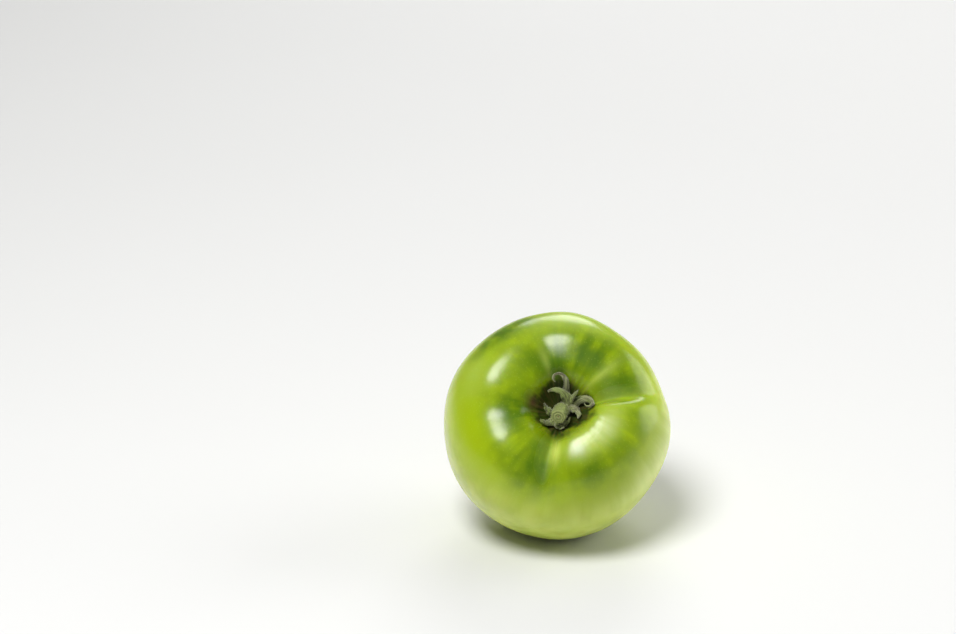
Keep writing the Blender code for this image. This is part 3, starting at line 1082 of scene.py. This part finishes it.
        off_edge = (radius - self.pleat_middle * self.pit_radius) / (self.pleat_reach * self.pit_radius)
        waver = graph.noise(ball_place, self.pleat_fineness) * self.pleat_waver
        fold = graph.sin(around * self.pleat_count + waver)
        push = push + fold * graph.exp(off_edge * off_edge * -1.0) * upper * self.pleats
        pit = (radius / (graph.take("Pit Radius") * pit_swell)) ** self.pit_squareness
        bowl = radius / graph.take("Bowl Radius")
        scar = radius / graph.take("Scar Radius")
        sunk = graph.take("Pit Depth") * graph.exp(pit * -1.0)
        sunk = sunk + graph.take("Bowl Depth") * bowl_share * graph.exp(bowl * bowl * -1.0)
        raised = graph.take("Scar Depth") * graph.exp(scar * scar * -1.0) * (1.0 - upper)
        spread = radius + push * out_radius / out_size
        stand = level + push * out_level / out_size - sunk * upper + raised

        skin = graph.mark(ball, Mark.WAY, graph.join(graph.cos(around), graph.sin(around), polar / math.pi))
        skin = graph.mark(skin, Mark.FURROW, creases)
        skin_place = graph.join(spread * graph.cos(around), spread * graph.sin(around), stand)
        graph.finish_geometry(graph.move_to(skin, skin_place))
        return graph

    def build(self, finish: bpy.types.Material) -> bpy.types.Object:
        """Make the fruit in its own frame, in millimetres, in its finish."""
        return grow("fruit_skin", self.surface_group(), self, material=finish)


@dataclass
class Calyx:
    """The dried calyx: a round hub and the curled sepals that grow from it, in millimetres."""

    skin: bpy.types.Object
    # The hub, and the tests of the skin's height round it.
    hub_place: tuple[float, float] = (-0.2, -0.8)
    hub_radius: float = 3.4
    hub_height: float = 1.9
    hub_gap: float = 0.3
    hub_tests: int = 20
    hub_segments: int = 54
    hub_rings: int = 24
    hub_ribbing: float = 0.05
    probe_height: float = 60.0
    # The sepals' middle lines and outline.
    stations: int = 13
    steps: int = 56
    sides: int = 18
    root: float = 2.4
    neck: float = 0.72
    bulge: float = 1.6
    taper: float = 0.55
    tip_start: float = 0.8
    tip_narrowing: float = 0.75
    tip_roundness: float = 1.5
    path_thickness: float = 0.85
    skin_clearance: float = 1.2
    # The blades' cross section, ruffled edges and wrinkles.
    thinness: float = 0.2
    cup: float = 0.35
    ruffle: float = 0.16
    ruffles: float = 3.2
    ruffle_slant: float = 0.8
    ruffle_variety: float = 9.0
    wrinkle: float = 0.22
    wrinkles_along: float = 7.0
    wrinkles_across: float = 2.6
    wrinkle_variety: float = 40.0
    loose_span: Span = (0.0, 0.25)
    seed: int = 7
    sepals: tuple[Sepal, ...] = (
        Sepal(bearing=27, length=11.3, width=3.0, lift=51, curl=-12, turn=-146, twist=10, lateness=0.6),
        Sepal(bearing=33, length=15.9, width=3.0, lift=16, curl=-18, turn=-335, twist=60, lateness=2.2),
        Sepal(bearing=43, length=14.2, width=4.0, lift=36, curl=-4, turn=186, twist=20, lateness=0.7),
        Sepal(bearing=54, length=9.6, width=2.9, lift=20, curl=52, turn=-26, twist=-35, lateness=0.7),
        Sepal(bearing=71, length=17.2, width=2.6, lift=26, curl=-50, turn=295, twist=60, lateness=2.7),
        Sepal(bearing=174, length=6.2, width=3.2, lift=36, curl=18, turn=-70, twist=35, lateness=1.1),
        Sepal(bearing=222, length=7.6, width=3.0, lift=18, curl=17, turn=-116, twist=-20, lateness=2.3),
        Sepal(bearing=238, length=9.2, width=2.8, lift=24, curl=18, turn=214, twist=25, lateness=1.0),
        Sepal(bearing=258, length=8.4, width=2.8, lift=42, curl=22, turn=75, twist=20, lateness=2.2),
    )

    def __post_init__(self) -> None:
        """Find the height at which the hub sits in the pit."""
        mesh = self.skin.data
        self.tree = BVHTree.FromPolygons([v.co for v in mesh.vertices], [p.vertices for p in mesh.polygons])
        x, y = self.hub_place
        self.hub_bottom = self.hub_gap + max(
            self.skin_height(x + self.hub_radius * math.cos(angle), y + self.hub_radius * math.sin(angle))
            for angle in np.linspace(0.0, FULL_TURN, self.hub_tests)
        )

    def skin_height(self, x: float, y: float) -> float:
        """Height of the skin above a point of the plane across the core."""
        hit = self.tree.ray_cast(Vector((x, y, self.probe_height)), Vector((0.0, 0.0, -1.0)))[0]
        return hit.z if hit is not None else 0.0

    def above_hub(self, share: float) -> Vector:
        """Point of the hub's middle line, from its bottom at 0 to its top at 1."""
        return Vector((*self.hub_place, self.hub_bottom + share * self.hub_height))

    def path(self, sepal: Sepal) -> list[tuple[Vector, float, float]]:
        """Work out a sepal's middle line, clear of the skin.

        Args:
            sepal: Its sizes.

        Returns:
            For each station its place, half width and twist.
        """
        bearing = math.radians(sepal.bearing)
        place = self.above_hub(0.5) + Vector((math.cos(bearing), math.sin(bearing), 0.0)) * self.root
        step = sepal.length / (self.stations - 1)
        ahead = Vector()
        stops = []
        for index in range(self.stations):
            place = place + ahead * step
            share = index / (self.stations - 1)
            late = share**sepal.lateness
            heading = bearing + math.radians(sepal.turn * late)
            pitch = math.radians(sepal.lift + sepal.curl * late)
            twist = math.radians(sepal.twist * late)
            flat = Vector((math.cos(heading), math.sin(heading), 0.0))
            ahead = flat * math.cos(pitch) + Vector((0.0, 0.0, math.sin(pitch)))
            side = Vector((-math.sin(heading), math.cos(heading), 0.0))
            side.rotate(Matrix.Rotation(twist, 3, ahead))
            bulge = self.neck + (1.0 - self.neck) * math.sin(math.pi * min(1.0, self.bulge * share))
            half = 0.5 * sepal.width * bulge * (1.0 - self.taper * share**2)
            lowest = max(
                self.skin_height(place.x + side.x * reach, place.y + side.y * reach) - side.z * reach
                for reach in (-half, 0.0, half)
            )
            place.z = max(place.z, lowest + 0.5 * self.path_thickness + self.skin_clearance)
            point = max(0.0, share - self.tip_start) / (1.0 - self.tip_start)
            narrow = 1.0 - self.tip_narrowing * point**self.tip_roundness
            stops.append((place.copy(), half * narrow, twist))
        return stops

    def paths(self) -> bpy.types.Object:
        """Draw a middle line for each sepal.

        Returns:
            A curve object that holds them all.
        """
        curve = bpy.data.curves.new("sepal_paths", "CURVE")
        curve.dimensions = "3D"
        for sepal in self.sepals:
            stops = self.path(sepal)
            spline = curve.splines.new("POLY")
            spline.points.add(len(stops) - 1)
            for point, (place, half, twist) in zip(spline.points, stops):
                point.co = (*place, 1.0)
                point.radius = half
                point.tilt = twist
        return put("sepal_paths", curve)

    def _hub(self, graph: Graph) -> Value:
        """Shape the ribbed hub.

        Args:
            graph: Graph of the calyx.

        Returns:
            Its geometry.
        """
        ball_takes = {"Segments": self.hub_segments, "Rings": self.hub_rings, "Radius": 1.0}
        ball = graph.read("GeometryNodeMeshUVSphere", 0, ball_takes)
        x, y, z = graph.split(graph.read("GeometryNodeInputPosition"))
        rib = graph.cos(graph.math("ARCTAN2", y, x) * float(len(self.sepals))) * self.hub_ribbing
        wide = graph.take("Hub Radius") * (rib + (1.0 - self.hub_ribbing))
        place = graph.join(x * wide, y * wide, z * graph.take("Hub Height") * 0.5)
        sum_takes = {0: place, 1: graph.take("Hub Centre")}
        return graph.move_to(ball, graph.read("ShaderNodeVectorMath", 0, sum_takes, operation="ADD"))

    def _blades(self, graph: Graph) -> Value:
        """Sweep a blade along each path, and ruffle and wrinkle it.

        Args:
            graph: Graph of the calyx.

        Returns:
            Their geometry.
        """
        paths = graph.read("GeometryNodeObjectInfo", "Geometry", {"Object": graph.take("Paths")})
        smooth = graph.read("GeometryNodeCurveSplineType", 0, {"Curve": paths}, spline_type="CATMULL_ROM")
        fine_takes = {"Curve": smooth, "Count": graph.take("Steps")}
        fine = graph.read("GeometryNodeResampleCurve", 0, fine_takes, mode="COUNT")
        upright = graph.read("GeometryNodeSetCurveNormal", 0, {"Curve": fine}, mode="Z_UP")
        drawn = graph.read("FunctionNodeRandomValue", 1, {"Seed": self.seed}, data_type="FLOAT")
        blade = graph.read("GeometryNodeFieldOnDomain", 0, {0: drawn}, data_type="FLOAT", domain="CURVE")
        line = graph.mark(upright, Mark.ALONG, graph.read("GeometryNodeSplineParameter", "Factor"))
        line = graph.mark(line, Mark.BLADE, blade)

        ring_takes = {"Resolution": graph.take("Sides"), "Radius": 1.0}
        ring = graph.read("GeometryNodeCurvePrimitiveCircle", 0, ring_takes)
        x, y, _ = graph.split(graph.read("GeometryNodeInputPosition"))
        section_place = graph.join(x, y * graph.take("Thinness") + x * x * graph.take("Cup"), 0.0)
        section = graph.move_to(graph.mark(ring, Mark.ACROSS, x), section_place)
        half = graph.read("GeometryNodeInputRadius")
        swept_takes = {"Curve": line, "Profile Curve": section, "Scale": half, "Fill Caps": True}
        swept = graph.read("GeometryNodeCurveToMesh", 0, swept_takes)

        along, across, blade = (graph.marked(mark) for mark in (Mark.ALONG, Mark.ACROSS, Mark.BLADE))
        turns = along * graph.take("Ruffles") * FULL_TURN
        wave = graph.sin(turns + blade * self.ruffle_variety + across * self.ruffle_slant)
        crease_place = graph.join(
            along * self.wrinkles_along, across * self.wrinkles_across, blade * self.wrinkle_variety
        )
        crease = graph.noise(crease_place, detail=3.0) - 0.5
        lift = wave * across * across * graph.take("Ruffle") + crease * graph.take("Wrinkle")
        lift = lift * graph.ramp(along, *self.loose_span)
        normal = graph.read("GeometryNodeInputNormal")
        offset = graph.read("ShaderNodeVectorMath", 0, {0: normal, 3: lift}, operation="SCALE")
        return graph.read("GeometryNodeSetPosition", 0, {"Geometry": swept, "Offset": offset})

    def calyx_group(self) -> Graph:
        """Geometry group that grows a blade along each path, and the hub between them.

        Returns:
            The group.
        """
        numbers = ("Thinness", "Cup", "Ruffle", "Ruffles", "Wrinkle", "Hub Radius", "Hub Height")
        takes = {Port.OBJECT: ("Paths",), Port.COUNT: ("Steps", "Sides"), Port.VECTOR: ("Hub Centre",)}
        graph = Graph.maker("dried_calyx", takes | {Port.NUMBER: numbers})
        whole = graph.add("GeometryNodeJoinGeometry")
        for geometry in (self._hub(graph), self._blades(graph)):
            graph.feed(whole.inputs[0], geometry)
        graph.finish_geometry(graph.out(whole, 0))
        return graph

    def build(self, finish: bpy.types.Material) -> bpy.types.Object:
        """Make the calyx in the fruit's own frame.

        Args:
            finish: Material of the sepals.

        Returns:
            The piece.
        """
        guide = self.paths()
        others = {"paths": guide, "hub_centre": tuple(self.above_hub(0.5)), "material": finish}
        piece = grow("calyx_sepals", self.calyx_group(), self, **others)
        curve = guide.data
        bpy.data.objects.remove(guide)
        bpy.data.curves.remove(curve)
        return piece


@dataclass
class Stem:
    """The stem's stub: up from the hub, bent over and cut straight across, in millimetres."""

    foot: Vector
    # The line that it follows.
    radius: float = 2.5
    rise: float = 1.4
    bend_radius: float = 6.0
    bend: float = 48.0
    lean_bearing: float = 245.0
    tail: float = 3.4
    sink: float = 0.6
    # Its girth, as shares of the radius, with its ribs and grain.
    waist: float = 0.99
    foot_flare: float = 0.12
    foot_reach: float = 1.1
    end_swell: float = 0.06
    swell_span: Span = (3.0, 0.4)
    edge: float = 0.35
    edge_trim: float = 0.07
    ribs: float = 7.0
    rib_depth: float = 0.09
    rib_waver: float = 2.0
    roughness: float = 0.2
    grain_across: float = 2.2
    grain_along: float = 3.0
    # The cut end, with its rings and the small hollow in its middle.
    relief: float = 0.09
    end_share: float = 0.9999
    rim_span: Span = (1.0, 0.85)
    ring_grain: float = 2.0
    hollow_radius: float = 0.12
    hollow_depth: float = 2.0
    sides: int = 84
    rings: int = 64
    end_rings: int = 16

    def stalk_group(self) -> Graph:
        """Geometry group that bends a ribbed rod over and shapes its cut end.

        Returns:
            The group.
        """
        line = ("Radius", "Rise", "Bend Radius", "Bend", "Tail", "Sink")
        shape = ("Edge", "Ribs", "Rib Depth", "Relief")
        counts = {"Vertices": "Sides", "Side Segments": "Rings", "Fill Segments": "End Rings"}
        graph = Graph.maker("stalk", {Port.COUNT: tuple(counts.values()), Port.NUMBER: line + shape})
        rod_takes = {label: graph.take(count) for label, count in counts.items()}
        rod_takes |= {"Radius": 1.0, "Depth": 1.0}
        rod = graph.read("GeometryNodeMeshCylinder", 0, rod_takes, fill_type="TRIANGLE_FAN")
        x, y, z = graph.split(graph.read("GeometryNodeInputPosition"))
        share = z + 0.5
        out = graph.root(x * x + y * y)
        around = graph.math("ARCTAN2", y, x)
        rise = graph.take("Rise")
        sink = graph.take("Sink")
        bend_radius = graph.take("Bend Radius")
        turn = graph.math("RADIANS", graph.take("Bend"))
        arc = bend_radius * turn
        length = rise + arc + graph.take("Tail") + sink
        run = share * length - sink
        angle = graph.math("MINIMUM", graph.math("MAXIMUM", (run - rise) / bend_radius, 0.0), turn)
        past = graph.math("MAXIMUM", run - rise - arc, 0.0)
        sine = graph.sin(angle)
        cosine = graph.cos(angle)
        line_away = bend_radius * (1.0 - cosine) + past * sine
        line_up = graph.math("MINIMUM", run, rise) + bend_radius * sine + past * cosine

        grain_place = graph.join(x * self.grain_across, y * self.grain_across, share * self.grain_along)
        grain = graph.noise(grain_place, detail=4.0) - 0.5
        from_end = length - sink - run
        swell = graph.ramp(from_end, *self.swell_span) * self.end_swell
        trim = graph.ramp(from_end, graph.take("Edge"), 0.0) * self.edge_trim
        flare = graph.exp((run / self.foot_reach) ** 2.0 * -1.0) * self.foot_flare
        wide = graph.take("Radius") * (swell - trim + flare + self.waist)
        rib = graph.cos(around * graph.take("Ribs") + grain * self.rib_waver) * graph.take("Rib Depth")
        wide = wide + out * (rib + grain * self.roughness)
        rings = graph.cos(out * CUT_RINGS) + grain * self.ring_grain
        hollow = graph.exp((out / self.hollow_radius) ** 2.0 * -1.0) * self.hollow_depth
        on_end = graph.math("GREATER_THAN", share, self.end_share) * graph.ramp(out, *self.rim_span)
        proud = (rings - hollow) * graph.take("Relief") * on_end
        side = x * wide
        stand_place = graph.join(
            line_away + cosine * side + proud * sine,
            y * wide,
            line_up - sine * side + proud * cosine,
        )
        stalk = graph.mark(graph.mark(rod, Mark.ALONG, share), Mark.ACROSS, out)
        graph.finish_geometry(graph.move_to(stalk, stand_place))
        return graph

    def build(self, finish: bpy.types.Material) -> bpy.types.Object:
        """Make the stem in the fruit's own frame.

        Args:
            finish: Material of the stem.

        Returns:
            The piece.
        """
        piece = grow("stem_stub", self.stalk_group(), self, material=finish)
        lean = Matrix.Rotation(math.radians(self.lean_bearing), 4, "Z")
        piece.data.transform(Matrix.Translation(self.foot) @ lean)
        return piece


@dataclass
class Hairs:
    """Short hairs that stand on a piece, in millimetres, with their number to the square millimetre."""

    name: str
    density: float
    length: float
    seed: int
    thickness: float = 0.035
    lean: float = 0.6
    steps: int = 3
    sides: int = 3
    tip: float = 0.12
    bend: float = 0.25
    shortest: float = 0.45

    def hair_group(self) -> Graph:
        """Geometry group that plants bent, tapering hairs on a surface.

        Returns:
            The group.
        """
        numbers = ("Density", "Length", "Thickness", "Lean")
        takes = {Port.OBJECT: ("Surface",), Port.COUNT: ("Steps", "Seed"), Port.NUMBER: numbers}
        graph = Graph.maker(self.name, takes)
        seed = graph.take("Seed")
        surface = graph.read("GeometryNodeObjectInfo", "Geometry", {"Object": graph.take("Surface")})
        spread_takes = {"Mesh": surface, "Density": graph.take("Density"), "Seed": seed}
        spread = graph.add("GeometryNodeDistributePointsOnFaces", spread_takes, distribute_method="RANDOM")
        cone_takes = {"Vertices": self.sides, "Side Segments": graph.take("Steps"), "Depth": 1.0}
        cone_takes |= {"Radius Top": self.tip, "Radius Bottom": 1.0}
        cone = graph.read("GeometryNodeMeshCone", 0, cone_takes, fill_type="NGON")
        x, y, z = graph.split(graph.read("GeometryNodeInputPosition"))
        thickness = graph.take("Thickness")
        bent_place = graph.join(x * thickness + z * z * self.bend, y * thickness, z)
        hair = graph.move_to(graph.mark(cone, Mark.ALONG, z), bent_place)
        lean = graph.take("Lean")
        low = graph.join(lean * -1.0, lean * -1.0, 0.0)
        high = graph.join(lean, lean, FULL_TURN)
        tilt_takes = {0: low, 1: high, "Seed": seed}
        tilt = graph.read("FunctionNodeRandomValue", 0, tilt_takes, data_type="FLOAT_VECTOR")
        tilt = graph.read("FunctionNodeEulerToRotation", 0, {0: tilt})
        turn_takes = {"Rotation": graph.out(spread, "Rotation"), "Rotate By": tilt}
        turn = graph.read("FunctionNodeRotateRotation", 0, turn_takes, rotation_space="LOCAL")
        size_takes = {2: self.shortest, 3: 1.0, "Seed": seed}
        size = graph.read("FunctionNodeRandomValue", 1, size_takes, data_type="FLOAT")
        planted_takes = {
            "Points": graph.out(spread, "Points"),
            "Instance": hair,
            "Rotation": turn,
            "Scale": graph.join(size, size, size * graph.take("Length")),
        }
        graph.finish_geometry(graph.read("GeometryNodeInstanceOnPoints", 0, planted_takes))
        return graph

    def build(self, surface: bpy.types.Object, finish: bpy.types.Material) -> bpy.types.Object:
        """Plant the hairs on a piece, in their finish."""
        return grow(self.name, self.hair_group(), self, surface=surface, material=finish)


@dataclass
class Studio:
    """The pale floor, the soft lights and the camera, in metres and degrees."""

    image_width: int = 956
    image_height: int = 634
    view_elevation: float = 24.0
    lens: float = 100.0
    sensor: float = 36.0
    distance: float = 0.9446
    fruit_pixel: tuple[float, float] = (556.8, 424.9)
    floor_size: float = 9.0
    key_up: float = 38.5
    key_left: float = 17.0
    key_distance: float = 1.2
    key_width: float = 0.50
    key_power: float = 16.0
    panels: tuple[Panel, ...] = (
        Panel("top", way=(0.0, 0.37, 1.0), distance=2.5, width=3.2, power=9.0),
        Panel("side", way=(1.0, 0.3, 0.35), distance=1.3, width=1.1, power=9.5),
        Panel("back", way=(0.1, 1.0, 0.62), distance=1.5, width=0.85, power=8.5),
    )
    world_strength: float = 0.16

    def _view_axes(self) -> tuple[Vector, Vector]:
        """Ways back to the camera and up across its view."""
        elevation = math.radians(self.view_elevation)
        back = Vector((0.0, -math.cos(elevation), math.sin(elevation)))
        return back, Vector((0.0, math.sin(elevation), math.cos(elevation)))

    def _key_panel(self) -> Panel:
        """Work out the key light from its angles up and left from the line of sight.

        Returns:
            The light.
        """
        back, up = self._view_axes()
        rise = math.radians(self.key_up)
        left = math.radians(self.key_left)
        level = back * math.cos(left) - Vector((1.0, 0.0, 0.0)) * math.sin(left)
        way = level * math.cos(rise) + up * math.sin(rise)
        return Panel("key", tuple(way), self.key_distance, self.key_width, self.key_power)

    def floor(self) -> None:
        """Lay the floor."""
        half = 0.5 * self.floor_size
        mesh = bpy.data.meshes.new("floor")
        corners = [(-half, -half, 0.0), (half, -half, 0.0), (half, half, 0.0), (-half, half, 0.0)]
        mesh.from_pydata(corners, [], [(0, 1, 2, 3)])
        mesh.materials.append(FloorFinish().build())
        put("floor", mesh)

    def camera(self, target: Vector) -> None:
        """Set the camera so that the target is seen at its place in the photograph.

        Args:
            target: The fruit's middle.
        """
        back, _ = self._view_axes()
        focal = self.lens / self.sensor * self.image_width
        column, row = self.fruit_pixel
        across = (column - 0.5 * self.image_width) / focal
        up = (0.5 * self.image_height - row) / focal
        level = (-back).to_track_quat("-Z", "Y")
        data = bpy.data.cameras.new("camera")
        data.lens = self.lens
        data.sensor_width = self.sensor
        made = put("camera", data)
        made.location = target + back * self.distance
        made.rotation_mode = "QUATERNION"
        made.rotation_quaternion = (level @ Vector((across, up, -1.0))).rotation_difference(-back) @ level
        bpy.context.scene.camera = made

    def lights(self, target: Vector) -> None:
        """Set up the key light, the three soft panels and the white surroundings.

        Args:
            target: What the lights point at.
        """
        for panel in (self._key_panel(), *self.panels):
            way = Vector(panel.way).normalized()
            data = bpy.data.lights.new(panel.name, "AREA")
            data.shape = "DISK"
            data.size = panel.width
            data.energy = panel.power
            made = put(panel.name, data)
            made.location = target + way * panel.distance
            made.rotation_mode = "QUATERNION"
            made.rotation_quaternion = way.to_track_quat("Z", "Y")
        world = bpy.data.worlds.new("white_surroundings")
        world.use_nodes = True
        background = world.node_tree.nodes["Background"]
        background.inputs["Color"].default_value = (1.0, 1.0, 1.0, 1.0)
        background.inputs["Strength"].default_value = self.world_strength
        bpy.context.scene.world = world
        bpy.context.scene.view_settings.view_transform = "Standard"

    def build(self, target: Vector) -> None:
        """Set up the studio round the target."""
        self.floor()
        self.camera(target)
        self.lights(target)


def hand_over(piece: bpy.types.Object, placing: Matrix) -> None:
    """Put a finished piece in its place on the part.

    Args:
        piece: The piece, in the fruit's own frame.
        placing: Matrix to where it belongs.
    """
    piece.data.transform(placing)
    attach(piece, "root")
    LOG.info("%s: %d faces", piece.name, len(piece.data.polygons))


def main() -> None:
    """Build the tomato and the studio."""
    logging.basicConfig(level=logging.INFO, format="%(name)s: %(message)s")
    fibres = fibre_group()
    hair_finish = HairFinish().build()
    skin = Fruit().build(SkinFinish().build())
    lie = Lie()
    placing = lie.placing(skin)
    calyx = Calyx(skin)
    sepals = calyx.build(CalyxFinish().build(fibres))
    stub = Stem(calyx.above_hub(1.0)).build(StemFinish().build(fibres))
    sepal_hairs = Hairs("calyx_hairs", density=3.0, length=0.45, seed=3).build(sepals, hair_finish)
    stem_hairs = Hairs("stem_hairs", density=7.0, length=0.6, seed=5).build(stub, hair_finish)
    hand_over(skin, placing)
    lie.flatten(skin)
    for piece in (sepals, sepal_hairs):
        hand_over(piece, placing)
    for piece in (stub, stem_hairs):
        hand_over(piece, placing)
    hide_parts("fruit")
    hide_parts("calyx")
    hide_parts("stem")
    low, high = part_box("fruit")
    Studio().build(Vector((0.0, 0.0, 0.5 * (low.z + high.z))))


if __name__ == "__main__":
    main()
